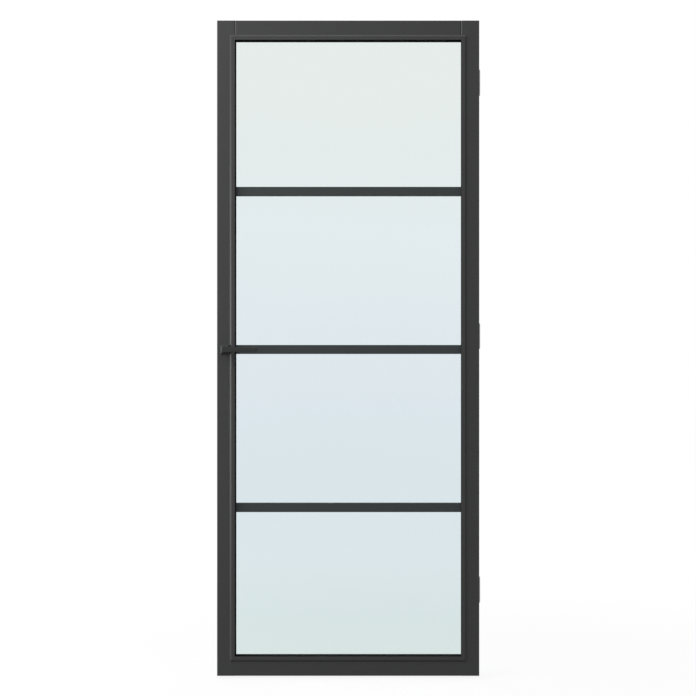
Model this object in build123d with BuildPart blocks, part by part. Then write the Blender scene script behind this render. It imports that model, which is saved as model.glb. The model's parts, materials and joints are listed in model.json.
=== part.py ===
from build123d import *
import math
import os

# A slim-framed glass interior door leaf with its handles, latch and butt hinges.
# Millimetres. X runs across the leaf, -Y is the front face, Z is up. The origin is at the
# middle of the leaf's bottom edge, at mid thickness. The handle is at -X, the hinges at +X.

# Leaf
leaf_width = 813.0
leaf_height = 2032.0
leaf_thickness = 35.0
stile_width = 56.0
rail_height = 61.0
outer_edge_round = 1.0
joint_groove = 2.3
dowel_radius = 4.0
dowel_length = 60.0
dowel_insets = (14.0, 36.0)
dowel_hole_spare = 1.0

# Glass and its seat
glass_thickness = 5.0
glass_cover = 10.0
glass_edge_chamfer = 0.6
rebate_depth = 12.0
tape_thickness = 1.0
tape_width = 8.0
tape_inset = 1.0
tape_gap = 0.2
setting_block_length = 40.0
setting_block_offset = 210.0

# Raised bead around the opening, front and back
bead_width = 16.5
bead_proud = 4.5
bead_bevel = 5.2
bead_bevel_rise = 4.3
bead_inner_ease = 0.8
bead_rebate_gap = 0.3

# Cross bars
bar_height = 28.0
bar_setback = 11.5
bar_chamfer = 0.8
bar_pitch = 491.0
bar_end_gap = 0.3
bar_tape_width = 22.0
bar_tape_end_inset = 5.0

# Handle
handle_level = 1012.0
backset = 25.0
spindle_side = 7.0
spindle_length = 96.0
square_clearance = 0.05
lever_proud = 52.0
lever_reach = 103.0
lever_root = 16.5
lever_slim = 12.0
lever_thickness = 9.0
lever_taper_start = 30.0
lever_taper_end = 61.0
lever_taper_round = 70.0
lever_bend_round = 6.0
lever_inner_round = 4.0
lever_tip_round = 1.5
lever_edge_ease = 0.9
collar_radius = 7.0
collar_start = 1.0
collar_length = 13.5
socket_end = 1.0
grub_radius = 2.0
grub_distance = 11.5
grub_key = 2.0
grub_key_depth = 1.2
rose_side = 28.5
rose_height = 8.0
rose_bevel = 4.5
rose_hole_radius = 7.5
rose_plate_side = 25.0
rose_plate_thickness = 3.0
rose_plate_gap = 0.2
rose_inner_side = 17.4
rose_inner_depth = 6.5
rose_bolt_offset = 10.25
rose_bolt_radius = 1.5
rose_bolt_head_radius = 2.1
rose_bolt_hole_radius = 1.7
rose_bolt_end_gap = 0.5
bush_clearance = 0.05
bush_outer_radius = 7.6
bush_flange_radius = 8.3
bush_flange_thickness = 1.5

# Latch, measured from the leaf's latch edge and from the spindle's level
forend_thickness = 2.5
forend_width = 16.0
forend_bottom = -34.0
forend_top = 56.0
forend_screw_inset = 7.0
forend_seat_gap = 0.1
case_depth = 39.0
case_bottom = -22.0
case_top = 44.0
case_thickness = 12.0
case_wall = 1.2
case_front_wall = 1.5
case_pocket_gap = 0.2
cover_gap = 0.1
cover_posts = ((8.0, -16.0), (34.0, -16.0), (34.0, 38.0))
cover_post_radius = 2.6
cover_screw_radius = 1.0
cover_screw_head_radius = 1.9
cover_screw_length = 6.0
bolt_level = 25.0
bolt_head_length = 16.0
bolt_head_height = 16.0
bolt_head_thickness = 9.0
bolt_head_round = 0.8
bolt_clearance = 0.3
bolt_throw = 10.0
bolt_tail_radius = 2.0
bolt_lug_thickness = 2.5
bolt_lug_bottom = 10.5
bolt_lug_top = 28.5
bolt_lug_width = 8.0
tail_guide_start = 17.5
tail_guide_thickness = 1.5
tail_guide_height = 12.0
tail_guide_hole_radius = 2.3
magnet_radius = 3.5
magnet_length = 8.0
bolt_spring_radius = 2.9
bolt_spring_wire = 0.3
bolt_spring_pitch = 2.2
bolt_spring_closed_length = 4.0
hub_radius = 7.0
hub_thickness = 9.0
hub_boss_radius = 6.0
hub_boss_clearance = 0.05
spindle_hole_radius = 8.0
arm_reach = 14.0
arm_tip_radius = 2.4
arm_half_width = 1.5
arm_rest_angle = 20.0
arm_thickness = 4.0
arm_side_gap = 0.6
arm_peg_distance = 10.5
arm_peg_radius = 0.9
arm_peg_length = 2.0
follower_spring_radius = 7.75
follower_spring_wire = 0.4
follower_spring_pitch = 1.1
follower_spring_turns = 3
follower_spring_leg = 5.0

# Hinges
hinge_height = 76.0
hinge_half_width = 25.0
hinge_plate = 2.0
hinge_closed_gap = 0.6
hinge_knuckle_radius = 4.0
hinge_knuckles = 5
hinge_knuckle_gap = 0.3
hinge_pin_radius = 2.0
hinge_pin_clearance = 0.05
hinge_pin_tip_radius = 3.2
hinge_pin_tip_height = 2.0
hinge_back_gap = 0.5
hinge_screw_spacing = 27.0
hinge_screw_setback = 10.5
hinge_hole_radius = 2.1
hinge_sink_radius = 3.6
top_hinge_inset = 150.0
bottom_hinge_inset = 225.0

# Countersunk wood screws for the hinges and the forend
screw_radius = 1.75
screw_head_radius = 3.5
screw_head_inset = 0.05
hinge_screw_length = 25.0
forend_screw_length = 20.0
screw_slot_width = 0.9
screw_slot_depth = 0.9
screw_tip_ratio = 0.2
screw_end_gap = 1.0

# Worked out from the sizes above
half_width = leaf_width / 2
half_thickness = leaf_thickness / 2
half_glass = glass_thickness / 2
opening_half = half_width - stile_width
opening_bottom = rail_height
opening_top = leaf_height - rail_height
tape_face = half_glass + tape_thickness
bead_face = half_thickness + bead_proud
bar_face = bead_face - bar_setback
handle_x = -half_width + backset
lever_front_face = half_thickness + lever_proud
lever_back_face = lever_front_face - lever_thickness
bolt_lug_start = tail_guide_start + tail_guide_thickness + bolt_throw + bolt_spring_closed_length
hinge_pin_x = half_width + hinge_closed_gap / 2
hinge_pin_y = half_thickness + hinge_back_gap + hinge_knuckle_radius
hinge_top_level = leaf_height - top_hinge_inset - hinge_height / 2
hinge_bottom_level = bottom_hinge_inset + hinge_height / 2
hinge_levels = {
    "top": hinge_top_level,
    "middle": (hinge_top_level + hinge_bottom_level) / 2,
    "bottom": hinge_bottom_level,
}
bar_levels = {
    "top": handle_level + bar_pitch,
    "middle": handle_level,
    "bottom": handle_level - bar_pitch,
}

os.makedirs("parts", exist_ok=True)


def save(part, node):
    """Labels a finished piece and writes it under its own name."""
    part.label = node
    export_step(part, f"parts/{node}.step")


def inset(distance):
    """The X of a point that far in from the latch edge."""
    return -half_width + distance


def block(low, high, mode=Mode.ADD):
    """A square-cornered block between two corners, inside the piece being made."""
    centre = tuple((a + b) / 2 for a, b in zip(low, high))
    with Locations(centre):
        Box(*(b - a for a, b in zip(low, high)), mode=mode)


def rod(plane, points, radius, length, mode=Mode.ADD):
    """Round rods or holes of one size, from a plane's points along its normal."""
    with BuildSketch(plane) as discs:
        with Locations(*points):
            Circle(radius)
    extrude(discs.sketch, amount=length, mode=mode)


def cone(plane, start_radius, end_radius, depth, mode=Mode.ADD):
    """A round taper or countersink, from a plane's origin along its normal."""
    with Locations(plane):
        Cone(start_radius, end_radius, depth, align=(Align.CENTER, Align.CENTER, Align.MIN), mode=mode)


def front_plane(depth):
    """The plane y = -depth, whose normal points out of the front face, with X across and Z up."""
    return Plane.XZ.offset(depth)


def countersunk_screw(plane, length, radius, head_radius):
    """One slotted countersunk screw, its head flush with the plane, its tip along the normal."""
    head_depth = head_radius - radius
    cone(plane, head_radius, radius, head_depth)
    rod(plane.offset(head_depth), [(0, 0)], radius, length - head_depth - radius)
    cone(plane.offset(length - radius), radius, radius * screw_tip_ratio, radius)
    scale = head_radius / screw_head_radius
    slot_depth = screw_slot_depth * scale
    with Locations(plane.offset(slot_depth / 2)):
        Box(2 * head_radius, screw_slot_width * scale, slot_depth, mode=Mode.SUBTRACT)


# The frame of the leaf


def groove_wedge(edge_x, side, face):
    """The corner taken off a joint's edge: a triangle in plan, at one face."""
    face_y = face * half_thickness
    return [
        (edge_x, face_y),
        (edge_x + side * joint_groove, face_y),
        (edge_x, face_y - face * joint_groove),
    ]


def cut_joint_grooves(edge_x, side):
    """Half of the V-groove at a top joint, on both faces."""
    for face in (-1, 1):
        with BuildSketch(Plane.XY.offset(opening_top)) as wedge:
            with BuildLine():
                Polyline(*groove_wedge(edge_x, side, face), close=True)
            make_face()
        extrude(wedge.sketch, amount=rail_height, mode=Mode.SUBTRACT)


def dowel_heights():
    """The levels of the dowels, two in each rail."""
    return [*dowel_insets, *(leaf_height - z for z in dowel_insets)]


def stile_blank(side):
    """A full-height stile with its stopped glass rebate, joint grooves and dowel holes."""
    centre_x = side * (half_width - stile_width / 2)
    hole_depth = dowel_length / 2 + dowel_hole_spare
    hole_x = side * opening_half if side > 0 else -opening_half - hole_depth
    rebate_x = sorted((side * opening_half, side * (opening_half + rebate_depth)))
    with BuildPart() as stile:
        with BuildSketch():
            with Locations((centre_x, 0)):
                Rectangle(stile_width, leaf_thickness)
        extrude(amount=leaf_height)
        outer_edges = stile.edges().filter_by(Axis.Z).sort_by(Axis.X)
        fillet(outer_edges[-2:] if side > 0 else outer_edges[:2], outer_edge_round)
        block(
            (rebate_x[0], -tape_face, opening_bottom - rebate_depth),
            (rebate_x[1], half_thickness, opening_top + rebate_depth),
            Mode.SUBTRACT,
        )
        cut_joint_grooves(side * opening_half, side)
        points = [(0, z) for z in dowel_heights()]
        rod(Plane.YZ.offset(hole_x), points, dowel_radius, hole_depth, Mode.SUBTRACT)
    return stile.part


def make_latch_stile():
    """The stile that holds the latch, the roses and the spindle."""
    case_half = case_thickness / 2 + case_pocket_gap
    blank = stile_blank(-1)
    with BuildPart() as stile:
        add(blank)
        # Pocket for the case, open at the leaf's edge
        block(
            (inset(0), -case_half, handle_level + case_bottom - case_pocket_gap),
            (inset(case_depth + case_pocket_gap), case_half, handle_level + case_top + case_pocket_gap),
            Mode.SUBTRACT,
        )
        # Shallow seat for the forend, with round ends
        with BuildSketch(Plane.YZ.offset(inset(0))):
            with Locations((0, handle_level + (forend_top + forend_bottom) / 2)):
                SlotOverall(
                    forend_top - forend_bottom + 2 * forend_seat_gap,
                    forend_width + 2 * forend_seat_gap,
                    rotation=90,
                )
        extrude(amount=forend_thickness, mode=Mode.SUBTRACT)
        rod(
            Plane.YZ.offset(inset(0)),
            [(0, z) for z in forend_screw_levels()],
            screw_radius,
            forend_screw_length,
            Mode.SUBTRACT,
        )
        # Through holes for the spindle and the rose bolts
        back = front_plane(-half_thickness)
        rod(back, [(handle_x, handle_level)], spindle_hole_radius, leaf_thickness, Mode.SUBTRACT)
        rod(back, rose_bolt_points(), rose_bolt_hole_radius, leaf_thickness, Mode.SUBTRACT)
    save(stile.part, "latch_stile")


def make_hinge_stile():
    """The stile that carries the hinges, with a shallow seat for each plate."""
    blank = stile_blank(1)
    with BuildPart() as stile:
        add(blank)
        for level in hinge_levels.values():
            block(
                (half_width - hinge_plate, hinge_pin_y - hinge_half_width, level - hinge_height / 2),
                (half_width, half_thickness, level + hinge_height / 2),
                Mode.SUBTRACT,
            )
            rod(
                Plane.YZ.offset(half_width - hinge_screw_length),
                [(hinge_screw_y(), level + z) for z in hinge_screw_steps()],
                screw_radius,
                hinge_screw_length,
                Mode.SUBTRACT,
            )
    save(stile.part, "hinge_stile")


def make_rail(node, level, inner, grooved):
    """A rail between the stiles, rebated along the edge that faces the glass."""
    rebate_low = level + rail_height - rebate_depth if inner > 0 else level
    with BuildPart() as rail:
        block(
            (-opening_half, -half_thickness, level),
            (opening_half, half_thickness, level + rail_height),
        )
        outer_face = rail.faces().sort_by(Axis.Z)[0 if inner > 0 else -1]
        fillet(outer_face.edges().filter_by(Axis.X), outer_edge_round)
        block(
            (-opening_half, -tape_face, rebate_low),
            (opening_half, half_thickness, rebate_low + rebate_depth),
            Mode.SUBTRACT,
        )
        if grooved:
            cut_joint_grooves(opening_half, -1)
            cut_joint_grooves(-opening_half, 1)
        hole_depth = dowel_length / 2 + dowel_hole_spare
        points = [(0, z) for z in dowel_heights() if level < z < level + rail_height]
        for start in (-opening_half, opening_half - hole_depth):
            rod(Plane.YZ.offset(start), points, dowel_radius, hole_depth, Mode.SUBTRACT)
    save(rail.part, node)


def make_dowels():
    """Eight beech dowels that hold the rails to the stiles."""
    with BuildPart() as dowels:
        for side in (-1, 1):
            start = Plane.YZ.offset(side * opening_half - dowel_length / 2)
            rod(start, [(0, z) for z in dowel_heights()], dowel_radius, dowel_length)
    save(dowels.part, "frame_dowels")


# Glass, tapes and beads


def make_glass():
    """One sheet of toughened glass with ground edges."""
    with BuildPart() as glass:
        reach = opening_half + glass_cover
        block(
            (-reach, -half_glass, opening_bottom - glass_cover),
            (reach, half_glass, opening_top + glass_cover),
        )
        for face in (glass.faces().sort_by(Axis.Y)[0], glass.faces().sort_by(Axis.Y)[-1]):
            chamfer(face.edges(), glass_edge_chamfer)
    save(glass.part, "glass_pane")


def make_glazing_tape(node, low_y):
    """Four strips of tape around the edge of the glass, on one of its faces."""
    inner = opening_half + tape_inset
    low = opening_bottom - tape_inset
    high = opening_top + tape_inset
    with BuildPart() as tape:
        for side in (-1, 1):
            left, right = sorted((side * inner, side * (inner + tape_width)))
            block((left, low_y, low - tape_width), (right, low_y + tape_thickness, high + tape_width))
        reach = inner - tape_gap
        for start in (low - tape_width, high):
            block((-reach, low_y, start), (reach, low_y + tape_thickness, start + tape_width))
    save(tape.part, node)


def make_setting_blocks():
    """Two packers that carry the weight of the glass on the bottom rail."""
    with BuildPart() as blocks:
        for side in (-1, 1):
            centre = side * setting_block_offset
            block(
                (centre - setting_block_length / 2, -half_glass, opening_bottom - rebate_depth),
                (centre + setting_block_length / 2, half_glass, opening_bottom - glass_cover),
            )
    save(blocks.part, "setting_blocks")


def mitred_outline(position, reach):
    """The four corners of one mitred strip, which runs out from the opening's edge by reach."""
    inner_ends = {
        "bottom": [(-opening_half, opening_bottom), (opening_half, opening_bottom)],
        "top": [(-opening_half, opening_top), (opening_half, opening_top)],
        "latch_side": [(-opening_half, opening_bottom), (-opening_half, opening_top)],
        "hinge_side": [(opening_half, opening_bottom), (opening_half, opening_top)],
    }[position]
    outer_ends = [
        (x + math.copysign(reach, x), z - reach if z == opening_bottom else z + reach)
        for x, z in reversed(inner_ends)
    ]
    return inner_ends + outer_ends


def mitred_strip(position, reach, near, far):
    """A mitred strip between two depths in Y."""
    with BuildSketch(front_plane(-near)) as outline:
        with BuildLine():
            Polyline(*mitred_outline(position, reach), close=True)
        make_face()
    extrude(outline.sketch, amount=near - far)


def make_bead(position, face):
    """One side of the raised bead. The back one fills the rebate as well and holds the glass."""
    lengthwise = Axis.X if position in ("top", "bottom") else Axis.Z
    across = Axis.Z if position in ("top", "bottom") else Axis.X
    outward = -1 if position in ("top", "hinge_side") else 0
    inward = -1 - outward
    with BuildPart() as bead:
        mitred_strip(position, bead_width, face * half_thickness, face * bead_face)
        raised_face = bead.faces().sort_by(Axis.Y)[0 if face < 0 else -1]
        bevel_edge = raised_face.edges().filter_by(lengthwise).sort_by(across)[outward]
        chamfer(bevel_edge, bead_bevel, bead_bevel_rise, reference=raised_face)
        raised_face = bead.faces().sort_by(Axis.Y)[0 if face < 0 else -1]
        eased_edge = raised_face.edges().filter_by(lengthwise).sort_by(across)[inward]
        chamfer(eased_edge, bead_inner_ease)
        if face > 0:
            mitred_strip(position, rebate_depth - bead_rebate_gap, tape_face, half_thickness)
    side_name = "front" if face < 0 else "back"
    save(bead.part, f"{side_name}_bead_{position}")


def make_bar(name, level, face):
    """A flat cross bar stuck to one face of the glass, with its outer long edges chamfered."""
    depth = (bar_face + tape_face) / 2
    with BuildPart() as bar:
        with BuildSketch(Plane.YZ.offset(-opening_half + bar_end_gap)):
            with Locations((face * depth, level)):
                Rectangle(bar_face - tape_face, bar_height)
            outer = vertices().sort_by(Axis.Y)
            chamfer(outer[:2] if face < 0 else outer[-2:], bar_chamfer)
        extrude(amount=2 * (opening_half - bar_end_gap))
    side_name = "front" if face < 0 else "back"
    save(bar.part, f"{side_name}_bar_{name}")


def make_bar_tapes():
    """Six strips of foam tape that hold the cross bars to the glass."""
    reach = opening_half - bar_tape_end_inset
    with BuildPart() as tapes:
        for level in bar_levels.values():
            for low_y in (-tape_face, half_glass):
                block(
                    (-reach, low_y, level - bar_tape_width / 2),
                    (reach, low_y + tape_thickness, level + bar_tape_width / 2),
                )
    save(tapes.part, "bar_tapes")


# Handle


def rose_bolt_points():
    """The two rose bolts, left and right of the spindle."""
    return [(handle_x + side * rose_bolt_offset, handle_level) for side in (-1, 1)]


def lever_silhouette():
    """The lever seen from the front: a root, a taper and a slim end."""
    start = handle_x - lever_root / 2
    upper = [
        (start, lever_root / 2),
        (handle_x + lever_taper_start, lever_root / 2),
        (handle_x + lever_taper_end, lever_slim / 2),
        (handle_x + lever_reach, lever_slim / 2),
    ]
    lower = [(x, -z) for x, z in reversed(upper)]
    return [(x, handle_level + z) for x, z in upper + lower]


def lever_solid():
    """The front lever: a neck that turns through a rounded bend into a tapered flat bar."""
    neck_start = half_thickness + collar_start + collar_length
    left = handle_x - lever_root / 2
    right = handle_x + lever_root / 2
    tip = handle_x + lever_reach
    with BuildPart() as lever:
        with BuildSketch(Plane.XY.offset(handle_level - lever_root / 2)):
            with BuildLine():
                Polyline(
                    (left, -neck_start),
                    (left, -lever_front_face),
                    (tip, -lever_front_face),
                    (tip, -lever_back_face),
                    (right, -lever_back_face),
                    (right, -neck_start),
                    close=True,
                )
            make_face()
            fillet(vertices().sort_by_distance((left, -lever_front_face))[0], lever_bend_round)
            fillet(vertices().sort_by_distance((right, -lever_back_face))[0], lever_inner_round)
        extrude(amount=lever_root)
        with BuildSketch(front_plane(neck_start)):
            with BuildLine():
                Polyline(*lever_silhouette(), close=True)
            make_face()
            taper_starts, taper_ends = vertices().group_by(Axis.X)[1:3]
            fillet([*taper_starts, *taper_ends], lever_taper_round)
        extrude(amount=lever_front_face - neck_start, mode=Mode.INTERSECT)
        tip_edges = lever.edges().filter_by(Axis.Y).sort_by(Axis.X)[-2:]
        fillet(tip_edges, lever_tip_round)
        front_face = lever.faces().filter_by(Plane.XZ).sort_by(Axis.Y)[0]
        eased = front_face.edges().sort_by(lambda edge: edge.center().X)[1:]
        chamfer(eased, lever_edge_ease)
        rod(
            front_plane(half_thickness + collar_start),
            [(handle_x, handle_level)],
            collar_radius,
            collar_length,
        )
        with BuildSketch(front_plane(half_thickness + collar_start)):
            with Locations((handle_x, handle_level)):
                Rectangle(spindle_side + 2 * square_clearance, spindle_side + 2 * square_clearance)
        extrude(
            amount=spindle_length / 2 + socket_end - half_thickness - collar_start,
            mode=Mode.SUBTRACT,
        )
        grub_plane = Plane(
            origin=(handle_x, -half_thickness - grub_distance, handle_level - collar_radius),
            z_dir=(0, 0, 1),
        )
        rod(grub_plane, [(0, 0)], grub_radius, collar_radius - spindle_side / 2, Mode.SUBTRACT)
    return lever.part


def make_levers():
    """The two levers, one the mirror of the other, and each one's grub screw."""
    front = lever_solid()
    save(front, "lever_front")
    with BuildPart() as back:
        add(front)
        mirror(about=Plane.XZ, mode=Mode.REPLACE)
    save(back.part, "lever_back")
    length = collar_radius - spindle_side / 2 - square_clearance
    with BuildPart() as grubs:
        for face in (-1, 1):
            foot = Plane(
                origin=(handle_x, face * (half_thickness + grub_distance), handle_level - collar_radius),
                z_dir=(0, 0, 1),
            )
            rod(foot, [(0, 0)], grub_radius, length)
            with BuildSketch(foot) as key:
                RegularPolygon(grub_key / 2, 6, major_radius=False)
            extrude(key.sketch, amount=grub_key_depth, mode=Mode.SUBTRACT)
    save(grubs.part, "grub_screws")


def make_spindle():
    """The square spindle that runs through the follower into both levers."""
    with BuildPart() as spindle:
        with BuildSketch(front_plane(-spindle_length / 2)):
            with Locations((handle_x, handle_level)):
                Rectangle(spindle_side, spindle_side)
        extrude(amount=spindle_length)
    save(spindle.part, "spindle")


def make_rose_plate(face):
    """The fixing plate behind a rose. The bolts' heads sink into the back one."""
    name = "front" if face < 0 else "back"
    outer_y = face * (half_thickness + rose_plate_thickness)
    with BuildPart() as plate:
        with BuildSketch(front_plane(-face * half_thickness)):
            with Locations((handle_x, handle_level)):
                Rectangle(rose_plate_side, rose_plate_side)
        extrude(amount=-face * rose_plate_thickness)
        through = front_plane(half_thickness + rose_plate_thickness)
        depth = -2 * (half_thickness + rose_plate_thickness)
        rod(through, [(handle_x, handle_level)], bush_outer_radius, depth, Mode.SUBTRACT)
        rod(through, rose_bolt_points(), rose_bolt_radius, depth, Mode.SUBTRACT)
        if face > 0:
            for x, z in rose_bolt_points():
                sink = rose_bolt_head_radius - rose_bolt_radius
                seat = Plane(origin=(x, outer_y, z), z_dir=(0, -1, 0))
                cone(seat, rose_bolt_head_radius, rose_bolt_radius, sink, Mode.SUBTRACT)
    save(plate.part, f"rose_plate_{name}")


def make_rose_cover(face):
    """The square cover with bevelled edges, hollow behind, that clips over the plate."""
    name = "front" if face < 0 else "back"
    outer = half_thickness + rose_height
    plate_depth = rose_plate_thickness + rose_plate_gap
    with BuildPart() as cover:
        with BuildSketch(front_plane(half_thickness)):
            with Locations((handle_x, handle_level)):
                Rectangle(rose_side, rose_side)
        extrude(amount=rose_height)
        chamfer(cover.faces().sort_by(Axis.Y)[0].edges(), rose_bevel)
        for side, depth in (
            (rose_plate_side + 2 * rose_plate_gap, plate_depth),
            (rose_inner_side, rose_inner_depth),
        ):
            with BuildSketch(front_plane(half_thickness)):
                with Locations((handle_x, handle_level)):
                    Rectangle(side, side)
            extrude(amount=depth, mode=Mode.SUBTRACT)
        rod(front_plane(outer), [(handle_x, handle_level)], rose_hole_radius, -rose_height, Mode.SUBTRACT)
        if face > 0:
            mirror(about=Plane.XZ, mode=Mode.REPLACE)
    save(cover.part, f"rose_cover_{name}")


def make_lever_bushes():
    """Two flanged bushes that the levers' collars turn in."""
    with BuildPart() as bushes:
        for face in (-1, 1):
            seat = front_plane(-face * half_thickness)
            flange = front_plane(-face * (half_thickness + rose_plate_thickness))
            centre = [(handle_x, handle_level)]
            sleeve_length = -face * rose_plate_thickness
            bore_length = -face * (rose_plate_thickness + bush_flange_thickness)
            rod(seat, centre, bush_outer_radius, sleeve_length)
            rod(flange, centre, bush_flange_radius, -face * bush_flange_thickness)
            rod(seat, centre, collar_radius + bush_clearance, bore_length, Mode.SUBTRACT)
    save(bushes.part, "lever_bushes")


def make_rose_bolts():
    """Two bolts that draw the rose plates together through the leaf."""
    head_y = half_thickness + rose_plate_thickness
    length = 2 * head_y - rose_bolt_end_gap
    with BuildPart() as bolts:
        for x, z in rose_bolt_points():
            sink = rose_bolt_head_radius - rose_bolt_radius
            head = Plane(origin=(x, head_y, z), z_dir=(0, -1, 0))
            cone(head, rose_bolt_head_radius, rose_bolt_radius, sink)
            rod(head.offset(sink), [(0, 0)], rose_bolt_radius, length - sink)
    save(bolts.part, "rose_bolts")


# Latch


def forend_screw_levels():
    """The levels of the two screws in the forend."""
    return [
        handle_level + forend_bottom + forend_screw_inset,
        handle_level + forend_top - forend_screw_inset,
    ]


def bolt_window(plane, depth):
    """The opening that the bolt's head slides through."""
    with BuildSketch(plane) as window:
        with Locations((0, handle_level + bolt_level)):
            Rectangle(bolt_head_thickness + 2 * bolt_clearance, bolt_head_height + 2 * bolt_clearance)
    extrude(window.sketch, amount=depth, mode=Mode.SUBTRACT)


def make_forend():
    """The face plate in the leaf's edge, with round ends."""
    with BuildPart() as forend:
        with BuildSketch(Plane.YZ.offset(inset(0))):
            with Locations((0, handle_level + (forend_top + forend_bottom) / 2)):
                SlotOverall(forend_top - forend_bottom, forend_width, rotation=90)
        extrude(amount=forend_thickness)
        bolt_window(Plane.YZ.offset(inset(0)), forend_thickness)
        for z in forend_screw_levels():
            seat = Plane(origin=(inset(0), 0, z), z_dir=(1, 0, 0))
            sink = hinge_sink_radius - hinge_hole_radius
            cone(seat, hinge_sink_radius, hinge_hole_radius, sink, Mode.SUBTRACT)
            rod(seat, [(0, 0)], hinge_hole_radius, forend_thickness, Mode.SUBTRACT)
    save(forend.part, "latch_forend")


def make_forend_screws():
    """Two countersunk screws that hold the forend to the stile."""
    with BuildPart() as screws:
        for z in forend_screw_levels():
            head = Plane(origin=(inset(screw_head_inset), 0, z), z_dir=(1, 0, 0))
            countersunk_screw(head, forend_screw_length - screw_end_gap, screw_radius, screw_head_radius)
    save(screws.part, "forend_screws")


def make_latch_case():
    """The latch case, open on its back side, with the tail guide and the cover's posts."""
    half = case_thickness / 2
    low = handle_level + case_bottom
    high = handle_level + case_top
    guide_level = handle_level + bolt_level
    floor_plane = front_plane(half - case_wall)
    with BuildPart() as case:
        block((inset(forend_thickness), -half, low), (inset(case_depth), half, high))
        block(
            (inset(forend_thickness + case_front_wall), -half + case_wall, low + case_wall),
            (inset(case_depth - case_wall), half, high - case_wall),
            Mode.SUBTRACT,
        )
        block(
            (inset(tail_guide_start), -half + case_wall, guide_level - tail_guide_height / 2),
            (
                inset(tail_guide_start + tail_guide_thickness),
                half - case_wall,
                guide_level + tail_guide_height / 2,
            ),
        )
        posts = [(inset(u), handle_level + z) for u, z in cover_posts]
        rod(floor_plane, posts, cover_post_radius, -(case_thickness - 2 * case_wall))
        rod(front_plane(half - 2 * case_wall), posts, cover_screw_radius, -case_thickness, Mode.SUBTRACT)
        rod(
            Plane.YZ.offset(inset(tail_guide_start)),
            [(0, guide_level)],
            tail_guide_hole_radius,
            tail_guide_thickness,
            Mode.SUBTRACT,
        )
        bolt_window(Plane.YZ.offset(inset(forend_thickness)), case_front_wall)
        boss_hole = hub_boss_radius + hub_boss_clearance
        rod(front_plane(half), [(handle_x, handle_level)], boss_hole, -case_wall, Mode.SUBTRACT)
        rod(front_plane(half), rose_bolt_points(), rose_bolt_hole_radius, -case_wall, Mode.SUBTRACT)
    save(case.part, "latch_case")


def make_latch_cover():
    """The plate that closes the latch case."""
    half = case_thickness / 2
    outside = front_plane(-half)
    with BuildPart() as cover:
        block(
            (
                inset(forend_thickness + case_front_wall + cover_gap),
                half - case_wall,
                handle_level + case_bottom + case_wall + cover_gap,
            ),
            (
                inset(case_depth - case_wall - cover_gap),
                half,
                handle_level + case_top - case_wall - cover_gap,
            ),
        )
        boss_hole = hub_boss_radius + hub_boss_clearance
        rod(outside, [(handle_x, handle_level)], boss_hole, case_wall, Mode.SUBTRACT)
        rod(outside, rose_bolt_points(), rose_bolt_hole_radius, case_wall, Mode.SUBTRACT)
        for u, z in cover_posts:
            seat = Plane(origin=(inset(u), half, handle_level + z), z_dir=(0, -1, 0))
            sink = cover_screw_head_radius - cover_screw_radius
            cone(seat, cover_screw_head_radius, cover_screw_radius, sink, Mode.SUBTRACT)
            rod(seat, [(0, 0)], cover_screw_radius, case_wall, Mode.SUBTRACT)
    save(cover.part, "latch_cover")


def make_cover_screws():
    """Three small countersunk screws that close the case."""
    half = case_thickness / 2
    with BuildPart() as screws:
        for u, z in cover_posts:
            head = Plane(origin=(inset(u), half, handle_level + z), z_dir=(0, -1, 0))
            countersunk_screw(head, cover_screw_length, cover_screw_radius, cover_screw_head_radius)
    save(screws.part, "cover_screws")


def make_latch_bolt():
    """The magnetic bolt: a head with a magnet in its face, a tail and the lug that draws it back."""
    level = handle_level + bolt_level
    head_half = bolt_head_thickness / 2
    with BuildPart() as bolt:
        block(
            (inset(0), -head_half, level - bolt_head_height / 2),
            (inset(bolt_head_length), head_half, level + bolt_head_height / 2),
        )
        fillet(bolt.faces().sort_by(Axis.X)[0].edges(), bolt_head_round)
        rod(
            Plane.YZ.offset(inset(bolt_head_length)),
            [(0, level)],
            bolt_tail_radius,
            bolt_lug_start - bolt_head_length,
        )
        block(
            (inset(bolt_lug_start), -bolt_lug_width / 2, handle_level + bolt_lug_bottom),
            (inset(bolt_lug_start + bolt_lug_thickness), bolt_lug_width / 2, handle_level + bolt_lug_top),
        )
        rod(Plane.YZ.offset(inset(0)), [(0, level)], magnet_radius, magnet_length, Mode.SUBTRACT)
    save(bolt.part, "latch_bolt")
    with BuildPart() as magnet:
        rod(Plane.YZ.offset(inset(0)), [(0, level)], magnet_radius, magnet_length)
    save(magnet.part, "bolt_magnet")


def make_bolt_spring():
    """The weak spring on the bolt's tail, which keeps the bolt flush."""
    start = inset(tail_guide_start + tail_guide_thickness + bolt_spring_wire)
    end = inset(bolt_lug_start - bolt_spring_wire)
    with BuildPart() as spring:
        with BuildLine() as path:
            Helix(
                bolt_spring_pitch,
                end - start,
                bolt_spring_radius,
                center=(start, 0, handle_level + bolt_level),
                direction=(1, 0, 0),
            )
        with BuildSketch(Plane(origin=path.line @ 0, z_dir=path.line % 0)):
            Circle(bolt_spring_wire)
        sweep()
    save(spring.part, "bolt_spring")


def arm_point(distance):
    """A point on the follower's arm at rest, that far from the spindle's axis."""
    lean = math.radians(arm_rest_angle)
    return (handle_x - distance * math.sin(lean), handle_level + distance * math.cos(lean))


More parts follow.
